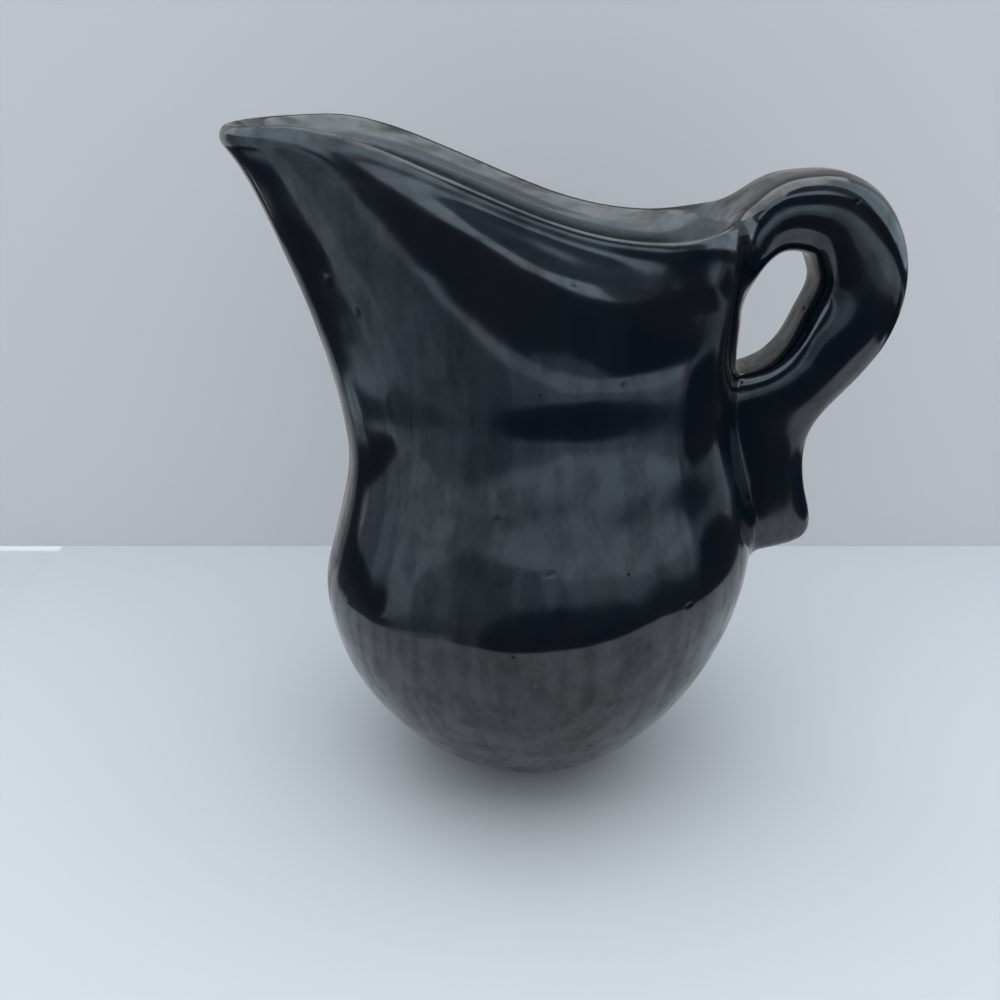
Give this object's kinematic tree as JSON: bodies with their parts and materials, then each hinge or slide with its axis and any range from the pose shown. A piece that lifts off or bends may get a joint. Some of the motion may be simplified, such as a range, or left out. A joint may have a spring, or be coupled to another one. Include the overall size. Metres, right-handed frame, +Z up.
{
  "type": "pitcher",
  "caption": "Hand-built burnished clay pitcher with a round belly, a swooping rim drawn out to a spout and a thick strap handle that grows out of the rim.",
  "frame": {"origin": "centre of the flat foot, on the ground", "axes": "+Z up, +X from the middle of the pot to the handle with the spout at -X, +Y to the far side when the spout is on the left"},
  "size_m": [0.1701, 0.119, 0.182],
  "materials": {
    "burnished_clay": "burnished, smoke-blackened, satin gloss"
  },
  "bodies": {
    "root": {"base_bowl": "burnished_clay", "belly_wall": "burnished_clay", "neck_wall": "burnished_clay", "spout": "burnished_clay", "rim_roll": "burnished_clay", "handle_arch": "burnished_clay", "handle_tail": "burnished_clay"}
  },
  "joints": []
}
